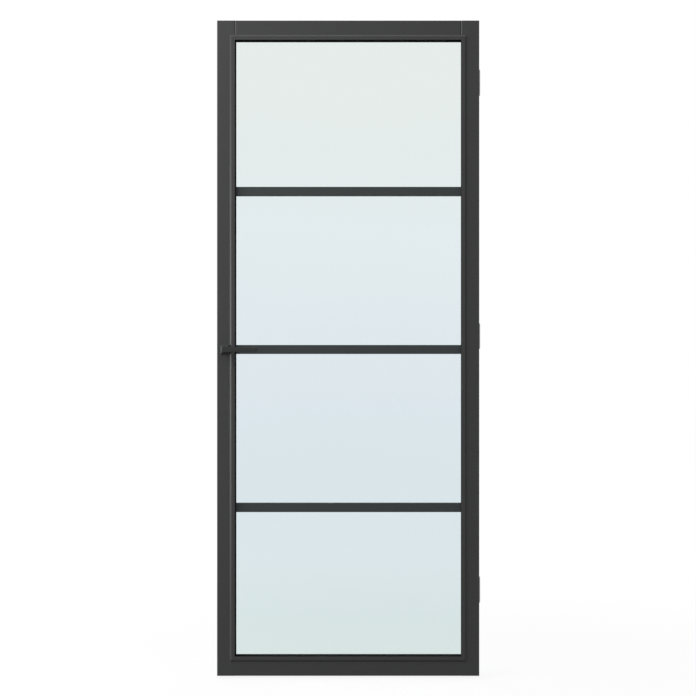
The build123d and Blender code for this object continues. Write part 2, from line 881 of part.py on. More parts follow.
def make_follower():
    """The follower: a hub on the spindle, bosses that turn in the case, and the arm."""
    half_hub = hub_thickness / 2
    half_case = case_thickness / 2
    centre = [(handle_x, handle_level)]
    arm_plane = front_plane(half_case - case_wall - arm_side_gap)
    with BuildPart() as follower:
        rod(front_plane(half_hub), centre, hub_radius, -hub_thickness)
        rod(front_plane(half_case), centre, hub_boss_radius, -case_thickness)
        with BuildSketch(arm_plane):
            with Locations(Location((*centre[0], 0), (0, 0, arm_rest_angle))):
                with Locations((0, arm_reach / 2)):
                    Rectangle(2 * arm_half_width, arm_reach)
                with Locations((0, arm_reach)):
                    Circle(arm_tip_radius)
        extrude(amount=-arm_thickness)
        peg_start = front_plane(half_case - case_wall - arm_side_gap - arm_thickness)
        rod(peg_start, [arm_point(arm_peg_distance)], arm_peg_radius, -arm_peg_length)
        with BuildSketch(front_plane(half_case)):
            with Locations(centre[0]):
                Rectangle(spindle_side + 2 * square_clearance, spindle_side + 2 * square_clearance)
        extrude(amount=-case_thickness, mode=Mode.SUBTRACT)
    save(follower.part, "follower")


def make_follower_spring():
    """The torsion spring around the hub that lifts the levers back to level."""
    start_y = follower_spring_pitch / 2 + follower_spring_wire
    with BuildPart() as spring:
        with BuildLine() as path:
            coil = Helix(
                follower_spring_pitch,
                follower_spring_pitch * follower_spring_turns,
                follower_spring_radius,
                center=(handle_x, start_y, handle_level),
                direction=(0, 1, 0),
            )
            Line(coil @ 1, coil @ 1 + (coil % 1) * follower_spring_leg)
            Line(coil @ 0 - (coil % 0) * follower_spring_leg, coil @ 0)
        wire = path.wires()[0]
        with BuildSketch(Plane(origin=wire @ 0, z_dir=wire % 0)):
            Circle(follower_spring_wire)
        sweep(path=wire)
    save(spring.part, "follower_spring")


# Hinges


def hinge_screw_y():
    """The Y of the screws' line on each plate."""
    return half_thickness - hinge_screw_setback


def hinge_screw_steps():
    """The screws' heights from the hinge's middle."""
    return [step * hinge_screw_spacing for step in (-1, 0, 1)]


def make_hinge_plate(name, level, side):
    """One plate of a butt hinge: side -1 is on the door's leaf, side 1 is on the door lining."""
    pitch = hinge_height / hinge_knuckles
    bottom = level - hinge_height / 2
    near = hinge_pin_x + side * hinge_closed_gap / 2
    far = near + side * hinge_plate
    left, right = sorted((near, far))
    owned = range(1, hinge_knuckles, 2) if side < 0 else range(0, hinge_knuckles, 2)
    bore = hinge_pin_radius + (hinge_pin_clearance if side < 0 else 0)
    plate_end = half_thickness
    with BuildPart() as plate:
        block(
            (left, hinge_pin_y - hinge_half_width, bottom),
            (right, plate_end, level + hinge_height / 2),
        )
        for index in owned:
            low = bottom + index * pitch + hinge_knuckle_gap / 2
            length = pitch - hinge_knuckle_gap
            with BuildSketch(Plane.XY.offset(low)):
                with Locations(((left + right) / 2, (plate_end + hinge_pin_y) / 2)):
                    Rectangle(hinge_plate, hinge_pin_y - plate_end)
                with Locations((hinge_pin_x, hinge_pin_y)):
                    Circle(hinge_knuckle_radius)
            extrude(amount=length)
        rod(Plane.XY.offset(bottom), [(hinge_pin_x, hinge_pin_y)], bore, hinge_height, Mode.SUBTRACT)
        for step in hinge_screw_steps():
            seat = Plane(origin=(near, hinge_screw_y(), level + step), z_dir=(side, 0, 0))
            sink = hinge_sink_radius - hinge_hole_radius
            cone(seat, hinge_sink_radius, hinge_hole_radius, sink, Mode.SUBTRACT)
            rod(seat, [(0, 0)], hinge_hole_radius, hinge_plate, Mode.SUBTRACT)
    side_name = "leaf" if side < 0 else "frame"
    save(plate.part, f"{name}_hinge_{side_name}_plate")


def make_hinge_pin(name, level):
    """A hinge pin with a button tip at each end."""
    bottom = level - hinge_height / 2
    with BuildPart() as pin:
        rod(Plane.XY.offset(bottom), [(hinge_pin_x, hinge_pin_y)], hinge_pin_radius, hinge_height)
        for start in (bottom - hinge_pin_tip_height, bottom + hinge_height):
            rod(
                Plane.XY.offset(start),
                [(hinge_pin_x, hinge_pin_y)],
                hinge_pin_tip_radius,
                hinge_pin_tip_height,
            )
        ends = pin.faces().filter_by(Plane.XY).sort_by(Axis.Z)
        fillet([*ends[0].edges(), *ends[-1].edges()], hinge_pin_tip_height / 2)
    save(pin.part, f"{name}_hinge_pin")


def make_hinge_screws():
    """Nine countersunk screws that hold the leaf plates to the stile."""
    with BuildPart() as screws:
        for level in hinge_levels.values():
            for step in hinge_screw_steps():
                head = Plane(
                    origin=(half_width - screw_head_inset, hinge_screw_y(), level + step),
                    z_dir=(-1, 0, 0),
                )
                countersunk_screw(head, hinge_screw_length - screw_end_gap, screw_radius, screw_head_radius)
    save(screws.part, "hinge_screws")


make_latch_stile()
make_hinge_stile()
make_rail("top_rail", opening_top, -1, True)
make_rail("bottom_rail", 0, 1, False)
make_dowels()
make_glass()
make_glazing_tape("glazing_tape_front", -tape_face)
make_glazing_tape("glazing_tape_back", half_glass)
make_setting_blocks()
for position in ("top", "bottom", "latch_side", "hinge_side"):
    make_bead(position, -1)
    make_bead(position, 1)
for name, level in bar_levels.items():
    make_bar(name, level, -1)
    make_bar(name, level, 1)
make_bar_tapes()
make_levers()
make_spindle()
for face in (-1, 1):
    make_rose_plate(face)
    make_rose_cover(face)
make_lever_bushes()
make_rose_bolts()
make_forend()
make_forend_screws()
make_latch_case()
make_latch_cover()
make_cover_screws()
make_latch_bolt()
make_bolt_spring()
make_follower()
make_follower_spring()
for name, level in hinge_levels.items():
    make_hinge_plate(name, level, -1)
    make_hinge_plate(name, level, 1)
    make_hinge_pin(name, level)
make_hinge_screws()
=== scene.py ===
"""Looks of a slim-framed glass interior door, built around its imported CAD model.

Lengths are metres. X runs across the leaf, -Y is its front and Z is up. The handle is at -X
and the hinges are at +X.
"""

import json
import logging
import math
from collections.abc import Sequence
from dataclasses import dataclass, field
from enum import Enum
from functools import cache

import bmesh
import bpy
from mathutils import Matrix, Vector


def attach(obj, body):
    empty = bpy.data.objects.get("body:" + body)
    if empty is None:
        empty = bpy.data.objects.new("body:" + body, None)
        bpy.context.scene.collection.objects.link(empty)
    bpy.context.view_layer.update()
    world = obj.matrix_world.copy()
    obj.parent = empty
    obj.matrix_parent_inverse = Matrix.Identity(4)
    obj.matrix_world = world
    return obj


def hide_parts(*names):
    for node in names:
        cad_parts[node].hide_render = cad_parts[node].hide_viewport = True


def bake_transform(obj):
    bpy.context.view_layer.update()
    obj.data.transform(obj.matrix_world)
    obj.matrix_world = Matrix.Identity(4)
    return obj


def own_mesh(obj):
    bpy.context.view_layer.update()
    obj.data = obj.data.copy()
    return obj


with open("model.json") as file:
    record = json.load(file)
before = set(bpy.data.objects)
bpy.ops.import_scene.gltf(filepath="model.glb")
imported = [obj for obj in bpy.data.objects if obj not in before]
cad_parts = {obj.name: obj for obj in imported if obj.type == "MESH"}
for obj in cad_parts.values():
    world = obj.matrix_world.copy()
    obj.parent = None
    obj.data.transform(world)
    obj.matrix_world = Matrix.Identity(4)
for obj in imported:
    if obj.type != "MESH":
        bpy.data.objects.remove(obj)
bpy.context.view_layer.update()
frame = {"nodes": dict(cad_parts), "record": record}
log = logging.getLogger("door")

Colour = tuple[float, float, float]
Point = tuple[float, float, float]
MM = 0.001


class Body(Enum):
    """The bodies that the made pieces ride on."""

    LEAF = "door_leaf"
    LEVERS = "lever_set"


class Slot(Enum):
    """The record's material slots."""

    FRAME_PAINT = "frame_paint"
    BEAD_PAINT = "bead_paint"
    BAR_PAINT = "bar_paint"
    DOWEL = "dowel_wood"
    GLASS = "glass"
    GLAZING_TAPE = "glazing_tape"
    BAR_TAPE = "bar_tape"
    SETTING_BLOCK = "setting_block"
    HANDLE = "handle_paint"
    ZINC = "zinc_plated_steel"
    BUSH = "bush_nylon"
    DARK_SCREW = "dark_screw_steel"
    SATIN_STEEL = "satin_steel"
    MAGNET = "magnet_plating"
    SPRING = "spring_wire"


# Shader graphs


@dataclass(frozen=True)
class Wire:
    """One output of a node. Arithmetic on it adds Math nodes."""

    graph: "Graph"
    socket: bpy.types.NodeSocket

    def __add__(self, other: "Wire | float") -> "Wire":
        """This plus other."""
        return self.graph.maths("ADD", self, other)

    def __radd__(self, other: float) -> "Wire":
        """Other plus this."""
        return self.graph.maths("ADD", other, self)

    def __sub__(self, other: "Wire | float") -> "Wire":
        """This less other."""
        return self.graph.maths("SUBTRACT", self, other)

    def __rsub__(self, other: float) -> "Wire":
        """Other less this."""
        return self.graph.maths("SUBTRACT", other, self)

    def __mul__(self, other: "Wire | float") -> "Wire":
        """This times other."""
        return self.graph.maths("MULTIPLY", self, other)

    def __rmul__(self, other: float) -> "Wire":
        """Other times this."""
        return self.graph.maths("MULTIPLY", other, self)

    def __abs__(self) -> "Wire":
        """This without its sign."""
        return self.graph.node("Math", {"operation": "ABSOLUTE"}, {0: self})


class Graph:
    """The nodes of one material or of the world."""

    def __init__(self, owner: "bpy.types.Material | bpy.types.World") -> None:
        """Empties the owner's node tree.

        Args:
            owner: The material or world that the nodes are for.
        """
        owner.use_nodes = True
        self.tree = owner.node_tree
        self.tree.nodes.clear()

    def node(
        self,
        kind: str,
        settings: dict | None = None,
        sockets: dict | None = None,
        output: "str | int" = 0,
    ) -> Wire:
        """Adds a node.

        Args:
            kind: The node's type, without the words in front that all types share.
            settings: Its properties, which are set first. A ramp's are under "stops".
            sockets: Values or wires of its inputs, by identifier, name or place.
            output: The output that is wanted, in the same way.

        Returns:
            That output.
        """
        made = self.tree.nodes.new("ShaderNode" + kind)
        for name, value in (settings or {}).items():
            if name == "stops":
                self._set_stops(made.color_ramp, value)
            else:
                setattr(made, name, value)
        for name, value in (sockets or {}).items():
            target = self._find(made.inputs, name)
            if isinstance(value, Wire):
                self.tree.links.new(value.socket, target)
            else:
                target.default_value = value
        return Wire(self, self._find(made.outputs, output))

    @staticmethod
    def _find(sockets: Sequence[bpy.types.NodeSocket], key: "str | int") -> bpy.types.NodeSocket:
        """Finds a socket.

        Args:
            sockets: A node's inputs or outputs.
            key: The socket's place, identifier or name.

        Returns:
            The socket.
        """
        if isinstance(key, int):
            return sockets[key]
        return next(s for test in ("identifier", "name") for s in sockets if getattr(s, test) == key)

    @staticmethod
    def _set_stops(ramp: bpy.types.ColorRamp, stops: Sequence[tuple[float, Colour]]) -> None:
        """Gives a ramp its stops.

        Args:
            ramp: The ramp.
            stops: Pairs of a position and a colour.
        """
        while len(ramp.elements) < len(stops):
            ramp.elements.new(1.0)
        for element, (position, colour) in zip(ramp.elements, stops):
            element.position = position
            element.color = (*colour, 1.0)

    def maths(self, operation: str, first: "Wire | float", second: "Wire | float") -> Wire:
        """A Math node on two values."""
        return self.node("Math", {"operation": operation}, {0: first, 1: second})

    def place(self, stretch: Point = (1.0, 1.0, 1.0)) -> Wire:
        """Where a point is on its piece, scaled along the axes."""
        here = self.node("TexCoord", output="Object")
        return self.node("VectorMath", {"operation": "MULTIPLY"}, {0: here, 1: stretch})

    def noise(self, size: float, detail: float = 2.0, stretch: Point = (1.0, 1.0, 1.0)) -> Wire:
        """Soft noise about a half, from 0 to 1.

        Args:
            size: How large its blotches are.
            detail: How many finer layers it has.
            stretch: Scale of the noise along the axes.

        Returns:
            The noise.
        """
        sockets = {"Vector": self.place(stretch), "Scale": 1 / size, "Detail": detail}
        return self.node("TexNoise", {"noise_dimensions": "3D"}, sockets, "Fac")

    def shaded(self, colour: Colour, tone: Wire) -> Wire:
        """A colour made lighter or darker by a tone about 1."""
        return self.node("VectorMath", {"operation": "SCALE"}, {"Vector": colour, "Scale": tone})

    def near(self, value: Wire, middle: float, reach: float) -> Wire:
        """1 where a value is within reach of a middle, and 0 elsewhere."""
        return self.node("Math", {"operation": "COMPARE"}, {0: value, 1: middle, 2: reach})

    def between(self, share: Wire, first: "Wire | Colour", second: Colour) -> Wire:
        """A colour between two.

        Args:
            share: The share of the second.
            first: The first colour.
            second: The second colour.

        Returns:
            The mix of both.
        """
        start = first if isinstance(first, Wire) else (*first, 1.0)
        sockets = {"Factor_Float": share, "A_Color": start, "B_Color": (*second, 1.0)}
        return self.node("Mix", {"data_type": "RGBA"}, sockets, "Result_Color")

    def bump(self, height: Wire, depth: float, strength: float = 1.0) -> Wire:
        """A normal from a height between 0 and 1, of that depth in metres."""
        sockets = {"Height": height, "Distance": depth, "Strength": strength}
        return self.node("Bump", {}, sockets, "Normal")

    def principled(self, **sockets: "Wire | float | Colour") -> Wire:
        """A Principled surface.

        Args:
            **sockets: Values or wires of its inputs, by their names with small letters and underscores.

        Returns:
            The shader's output.
        """
        named = {}
        for name, value in sockets.items():
            title = name.replace("_", " ").title().replace("Ior", "IOR")
            named[title] = (*value, 1.0) if isinstance(value, tuple) else value
        return self.node("BsdfPrincipled", {}, named)

    def close(self, surface: Wire, kind: str = "OutputMaterial") -> None:
        """Joins a shader to the tree's output."""
        end = self.tree.nodes.new("ShaderNode" + kind)
        self.tree.links.new(surface.socket, end.inputs["Surface"])


# Finishes


@dataclass(frozen=True)
class Finish:
    """A surface that its maker could order by name."""

    def surface(self, graph: Graph) -> Wire:
        """The finish's shader.

        Args:
            graph: The graph to build it in.

        Returns:
            The shader's output.
        """
        raise NotImplementedError


@dataclass(frozen=True)
class SatinPaint(Finish):
    """Sprayed satin paint, with its fine orange peel."""

    colour: Colour
    gloss: float = 0.22
    roughness: float = 0.46
    drift_size: float = 0.480
    cloud_size: float = 0.060
    cloud_depth: float = 0.05
    cloud_matt: float = 0.10
    speck_size: float = 0.0006
    speck_share: float = 0.6
    peel_size: float = 0.0018
    peel_depth: float = 0.000018

    def pigment(self, graph: Graph, tone: Wire) -> Wire:
        """The paint's colour at a tone about 1."""
        return graph.shaded(self.colour, tone)

    def surface(self, graph: Graph) -> Wire:
        """Paint whose tone and gloss drift a little over a piece.

        Args:
            graph: The graph to build it in.

        Returns:
            The shader's output.
        """
        drift = graph.noise(self.drift_size, 1.0) - 0.5
        cloud = graph.noise(self.cloud_size, 3.0) - 0.5
        speck = graph.noise(self.speck_size, 1.0) - 0.5
        tone = 1 + self.cloud_depth * (drift + cloud + self.speck_share * speck)
        return graph.principled(
            base_color=self.pigment(graph, tone),
            roughness=self.roughness + self.cloud_matt * cloud,
            specular_ior_level=self.gloss,
            normal=graph.bump(graph.noise(self.peel_size, 2.0), self.peel_depth),
        )


@dataclass(frozen=True)
class RevealShadedPaint(SatinPaint):
    """The same paint around the opening, with painted shade on the reveals, which show a dark and matt
    surface in place of the paint.
    """

    # Colour of the painted shade on the reveals; its roughness, mottle and edges follow.
    painted_reveal_shade: Colour = (0.0125, 0.0130, 0.0132)
    reveal_shade_roughness: float = 0.9
    reveal_shade_cloud: float = 0.004
    reveal_shade_mottle: float = 0.2
    opening_half_width: float = 350.5 * MM
    opening_middle: float = 1016.0 * MM
    opening_half_height: float = 955.0 * MM
    reveal_shade_end: float = 0.3 * MM
    paint_start: float = 0.9 * MM

    def surface(self, graph: Graph) -> Wire:
        """Paint, with painted shade on the reveals: a dark and matt surface without gloss.

        Args:
            graph: The graph to build it in.

        Returns:
            The shader's output.
        """
        # Painted shade: a dark, matt, glossless surface mixed in on the reveals.
        mottle = self.reveal_shade_mottle * graph.noise(self.reveal_shade_cloud, 2.0)
        painted_reveal_shade = graph.principled(
            base_color=graph.shaded(self.painted_reveal_shade, 1 - self.reveal_shade_mottle / 2 + mottle),
            roughness=self.reveal_shade_roughness,
            specular_ior_level=0.0,
        )
        sockets = {"Fac": self._reveal(graph), 1: super().surface(graph), 2: painted_reveal_shade}
        return graph.node("MixShader", {}, sockets)

    def _reveal(self, graph: Graph) -> Wire:
        """Where the reveals get the painted shade, by how far a point is outside the opening's edge.

        Args:
            graph: The graph to build it in.

        Returns:
            1 on the reveals and their eased edges, and 0 elsewhere.
        """
        x, z = (graph.node("SeparateXYZ", {}, {0: graph.place()}, axis) for axis in ("X", "Z"))
        beside = abs(x) - self.opening_half_width
        above = abs(z - self.opening_middle) - self.opening_half_height
        outside = graph.maths("MAXIMUM", beside, above)
        sockets = {"Value": outside, "From Min": self.reveal_shade_end, "From Max": self.paint_start}
        ends = {"To Min": 1.0, "To Max": 0.0}
        return graph.node("MapRange", {"interpolation_type": "SMOOTHSTEP"}, sockets | ends)


@dataclass(frozen=True)
class JointedPaint(RevealShadedPaint):
    """The frame's paint, with a painted highlight on one flank of each groove where the top rail meets a
    stile.
    """

    # Colour of the painted highlight on those flanks.
    wear_and_painted_highlight: Colour = (0.125, 0.128, 0.128)
    groove_half: float = 2.3 * MM
    face_y: float = -17.5 * MM
    skin: float = 0.05 * MM
    groove_foot: float = 1987.5 * MM

    def pigment(self, graph: Graph, tone: Wire) -> Wire:
        """The paint's colour, with a painted highlight on the flanks that look towards the handle.

        Args:
            graph: The graph to build it in.
            tone: How light the paint is, about 1.

        Returns:
            The colour.
        """
        # Painted highlight: the flanks facing the lamps on the handle side get a paler colour.
        return graph.between(self._flank(graph), super().pigment(graph, tone), self.wear_and_painted_highlight)

    def _flank(self, graph: Graph) -> Wire:
        """Where those flanks are.

        Args:
            graph: The graph to build it in.

        Returns:
            1 on the flanks and 0 elsewhere.
        """
        x, y, z = (graph.node("SeparateXYZ", {}, {0: graph.place()}, axis) for axis in "XYZ")
        half = self.groove_half / 2
        joints = (-self.opening_half_width + half, self.opening_half_width + half)
        left, right = (graph.near(x, middle, half) for middle in joints)
        sunk = graph.near(y, self.face_y + half + self.skin, half)
        return (left + right) * sunk * graph.maths("GREATER_THAN", z, self.groove_foot)


@dataclass(frozen=True)
class PowderCoat(Finish):
    """Baked powder on cast zinc, rubbed a little smoother where the hand takes hold."""

    colour: Colour
    grip_start: float
    grip_end: float
    gloss: float = 0.20
    roughness: float = 0.46
    # How much smoother the grip's wear makes the coat: a roughness, not a colour.
    wear_and_painted_highlight: float = 0.08
    cloud_size: float = 0.012
    cloud_depth: float = 0.08
    grain_size: float = 0.0009
    grain_tone: float = 0.05
    grain_depth: float = 0.000014

    def surface(self, graph: Graph) -> Wire:
        """Powder coat with its grain and the gloss of use.

        Args:
            graph: The graph to build it in.

        Returns:
            The shader's output.
        """
        across = graph.node("SeparateXYZ", {}, {0: graph.place()}, "X")
        grip = graph.node(
            "MapRange",
            {"interpolation_type": "SMOOTHSTEP"},
            {"Value": across, "From Min": self.grip_start, "From Max": self.grip_end},
        )
        cloud = graph.noise(self.cloud_size, 2.0)
        grain = graph.noise(self.grain_size, 1.0) - 0.5
        tone = 1 + self.cloud_depth * (cloud - 0.5) + self.grain_tone * grain
        return graph.principled(
            base_color=graph.shaded(self.colour, tone),
            roughness=self.roughness - self.wear_and_painted_highlight * (grip * cloud),
            specular_ior_level=self.gloss,
            normal=graph.bump(graph.noise(self.grain_size, 2.0), self.grain_depth),
        )


@dataclass(frozen=True)
class ClearGlass(Finish):
    """Toughened glass with a pale cast, which lets the lamps through."""

    # Stops of the pale cast over the height; the change from stop to stop is a painted reflection.
    tint_and_painted_reflection: tuple[tuple[float, Colour], ...]
    shade: Colour
    height: float = 2.032
    reflection_wander: float = 0.08
    reflection_wander_size: float = 0.5
    roughness: float = 0.02
    bending: float = 1.5

    def surface(self, graph: Graph) -> Wire:
        """Glass whose tint changes over its height: a painted reflection of the surroundings over its
        pale cast.

        Args:
            graph: The graph to build it in.

        Returns:
            The shader's output.
        """
        # Painted reflection: the tint follows the height, wandering a little.
        level = graph.node("SeparateXYZ", {}, {0: graph.place((1.0, 1.0, 1 / self.height))}, "Z")
        drift = level + self.reflection_wander * (graph.noise(self.reflection_wander_size, 1.0) - 0.5)
        tint = graph.node("ValToRGB", {"stops": self.tint_and_painted_reflection}, {"Fac": drift}, "Color")
        pane = graph.principled(
            base_color=tint,
            roughness=self.roughness,
            transmission_weight=1.0,
            ior=self.bending,
        )
        clear = graph.node("BsdfTransparent", {}, {"Color": (*self.shade, 1.0)})
        shadow = graph.node("LightPath", output="Is Shadow Ray")
        return graph.node("MixShader", {}, {"Fac": shadow, 1: pane, 2: clear})


@dataclass(frozen=True)
class BrushedSteel(Finish):
    """Steel or plating with a fine grain along one direction."""

    colour: Colour
    stretch: Point = (1.0, 1.0, 0.03)
    roughness: float = 0.34
    line_size: float = 0.0006
    line_depth: float = 0.000006
    line_tone: float = 0.12
    cloud_size: float = 0.008
    cloud_matt: float = 0.08
    mottle: float = 0.10

    def surface(self, graph: Graph) -> Wire:
        """Metal with brushed lines and a faint mottle.

        Args:
            graph: The graph to build it in.

        Returns:
            The shader's output.
        """
        lines = graph.noise(self.line_size, 3.0, self.stretch)
        cloud = graph.noise(self.cloud_size, 3.0) - 0.5
        streak = self.line_tone * (lines - 0.5)
        tone = 1 + self.mottle * cloud + streak
        return graph.principled(
            base_color=graph.shaded(self.colour, tone),
            metallic=1.0,
            roughness=self.roughness + streak + self.cloud_matt * cloud,
            normal=graph.bump(lines, self.line_depth),
        )


@dataclass(frozen=True)
class ZincPlate(Finish):
    """Bright zinc plate, with the cloudy bloom and faint colour of its passivation."""

    cool: Colour = (0.36, 0.38, 0.41)
    warm: Colour = (0.45, 0.42, 0.35)
    roughness: float = 0.38
    bloom_size: float = 0.006
    bloom_matt: float = 0.16
    grain_size: float = 0.0005
    grain_depth: float = 0.000008

    def surface(self, graph: Graph) -> Wire:
        """Metal that shifts between a cool and a warm cast.

        Args:
            graph: The graph to build it in.

        Returns:
            The shader's output.
        """
        bloom = graph.noise(self.bloom_size, 4.0)
        return graph.principled(
            base_color=graph.between(bloom, self.cool, self.warm),
            metallic=1.0,
            roughness=self.roughness + self.bloom_matt * (bloom - 0.5),
            normal=graph.bump(graph.noise(self.grain_size, 2.0), self.grain_depth),
        )


@dataclass(frozen=True)
class CellFoam(Finish):
    """Closed-cell foam tape."""

    colour: Colour = (0.020, 0.020, 0.021)
    cell_size: float = 0.0005
    cell_depth: float = 0.00006
    pore_tone: float = 0.8
    wall_tone: float = 0.5
    roughness: float = 0.88
    wall_gloss: float = 0.1

    def surface(self, graph: Graph) -> Wire:
        """Matt foam with fine cells.

        Args:
            graph: The graph to build it in.

        Returns:
            The shader's output.
        """
        settings = {"voronoi_dimensions": "3D"}
        sockets = {"Vector": graph.place(), "Scale": 1 / self.cell_size}
        cells = graph.node("TexVoronoi", settings, sockets, "Distance")
        return graph.principled(
            base_color=graph.shaded(self.colour, self.pore_tone + self.wall_tone * cells),
            roughness=self.roughness - self.wall_gloss * cells,
            normal=graph.bump(cells, self.cell_depth),
        )


@dataclass(frozen=True)
class Beech(Finish):
    """Steamed beech with its growth rings and short dark flecks."""

    light: Colour = (0.50, 0.31, 0.16)
    dark: Colour = (0.36, 0.20, 0.09)
    ring_stretch: Point = (0.05, 1.0, 1.0)
    rings_a_metre: float = 260.0
    ring_wander: float = 3.0
    ring_share: float = 0.6
    fleck_size: float = 0.0012
    fleck_stretch: Point = (0.2, 1.0, 1.0)
    fleck_share: float = 0.4
    roughness: float = 0.58
    fleck_matt: float = 0.1
    grain_depth: float = 0.00003

    def surface(self, graph: Graph) -> Wire:
        """Wood whose rings run along the dowel, which lies in X.

        Args:
            graph: The graph to build it in.

        Returns:
            The shader's output.
        """
        sockets = {
            "Vector": graph.place(self.ring_stretch),
            "Scale": self.rings_a_metre,
            "Distortion": self.ring_wander,
            "Detail": 2.0,
        }
        rings = graph.node("TexWave", {"wave_type": "BANDS"}, sockets, "Fac")
        fleck = graph.noise(self.fleck_size, 2.0, self.fleck_stretch)
        shade = self.ring_share * rings + self.fleck_share * fleck
        return graph.principled(
            base_color=graph.between(shade, self.light, self.dark),
            roughness=self.roughness + self.fleck_matt * fleck,
            normal=graph.bump(rings + fleck, self.grain_depth),
        )


@dataclass(frozen=True)
class Moulded(Finish):
    """Moulded plastic with a faint tool grain."""

    colour: Colour
    roughness: float = 0.48
    flow_size: float = 0.010
    flow_tone: float = 0.08
    grain_size: float = 0.0007
    grain_matt: float = 0.08
    grain_depth: float = 0.00002

    def surface(self, graph: Graph) -> Wire:
        """Plastic with soft flow marks.

        Args:
            graph: The graph to build it in.

        Returns:
            The shader's output.
        """
        flow = graph.noise(self.flow_size, 2.0) - 0.5
        grain = graph.noise(self.grain_size, 2.0)
        return graph.principled(
            base_color=graph.shaded(self.colour, 1 + self.flow_tone * flow),
            roughness=self.roughness + self.grain_matt * (grain - 0.5),
            normal=graph.bump(grain, self.grain_depth),
        )


@dataclass(frozen=True)
class FloorPaper(Finish):
    """Pale paper under the leaf, which fades into the white surroundings further out.

    Far out, its glow and the light on it together are as bright as the surroundings.
    """

    near: float = 0.89
    far: float = 0.947
    in_gloss: float = 0.79
    fade_start: float = 0.7
    fade_end: float = 3.2
    albedo: float = 0.07

    def surface(self, graph: Graph) -> Wire:
        """Paper that glows for what sees it and still takes a shadow.

        Args:
            graph: The graph to build it in.

        Returns:
            The shader's output.
        """
        away = graph.node("VectorMath", {"operation": "LENGTH"}, {0: graph.place()}, "Value")
        glow = graph.node(
            "MapRange",
            {"interpolation_type": "SMOOTHSTEP"},
            {
                "Value": away,
                "From Min": self.fade_start,
                "From Max": self.fade_end,
                "To Min": self.near,
                "To Max": self.far,
            },
        )
        strength = glow * rays_that_see(graph, self.in_gloss)
        seen = graph.node("Emission", {}, {"Color": (1.0, 1.0, 1.0, 1.0), "Strength": strength})
        paper = graph.node("BsdfDiffuse", {}, {"Color": (self.albedo,) * 3 + (1.0,)})
        return graph.node("AddShader", {}, {0: seen, 1: paper})


def rays_that_see(graph: Graph, in_gloss: float = 0.0) -> Wire:
    """How much a ray sees of what is there only to be seen.

    Args:
        graph: The graph to build it in.
        in_gloss: How much glossy rays see.

    Returns:
        1 for rays from the camera and through glass, in_gloss for glossy ones and 0 for diffuse ones.
    """
    camera, gloss, through = (
        graph.node("LightPath", output=f"Is {kind} Ray") for kind in ("Camera", "Glossy", "Transmission")
    )
    return camera + graph.maths("MAXIMUM", through, in_gloss * gloss)


ANTHRACITE = (0.0392, 0.0396, 0.0396)
FINISHES: dict[Slot, Finish] = {
    # Both paints carry painted shade on the reveals; the frame's paint also has a painted highlight in
    # the top joints.
    Slot.FRAME_PAINT: JointedPaint(ANTHRACITE),
    Slot.BEAD_PAINT: RevealShadedPaint(ANTHRACITE, cloud_depth=0.04),
    Slot.BAR_PAINT: SatinPaint((0.0345, 0.0405, 0.0405)),
    Slot.DOWEL: Beech(),
    Slot.GLASS: ClearGlass(
        # The pale cast, with a painted reflection changing from bottom to top.
        tint_and_painted_reflection=(
            (0.03, (0.69, 0.79, 0.78)),
            (0.20, (0.675, 0.765, 0.795)),
            (0.40, (0.71, 0.79, 0.84)),
            (0.64, (0.76, 0.835, 0.86)),
            (0.92, (0.79, 0.845, 0.82)),
        ),
        shade=(0.84, 0.89, 0.87),
    ),
    Slot.GLAZING_TAPE: CellFoam(),
    Slot.BAR_TAPE: CellFoam(cell_size=0.0004),
    Slot.SETTING_BLOCK: Moulded((0.045, 0.045, 0.047)),
    Slot.HANDLE: PowderCoat((0.0250, 0.0258, 0.0262), grip_start=-0.36, grip_end=-0.30),
    Slot.ZINC: ZincPlate(),
    Slot.BUSH: Moulded((0.68, 0.68, 0.65), roughness=0.42),
    Slot.DARK_SCREW: BrushedSteel((0.055, 0.055, 0.060), (1.0, 1.0, 1.0), roughness=0.42),
    Slot.SATIN_STEEL: BrushedSteel((0.40, 0.40, 0.395)),
    Slot.MAGNET: BrushedSteel((0.50, 0.485, 0.45), (1.0, 1.0, 1.0), roughness=0.18, mottle=0.04),
    Slot.SPRING: BrushedSteel((0.34, 0.34, 0.34), (0.3, 1.0, 1.0), roughness=0.30),
}


@cache
def material_of(slot: Slot) -> bpy.types.Material:
    """The material of a slot's finish, made when it is first asked for.

    Args:
        slot: The record's slot.

    Returns:
        The material.
    """
    material = bpy.data.materials.new(f"finish_{slot.value}")
    graph = Graph(material)
    graph.close(FINISHES[slot].surface(graph))
    return material


# Meshes


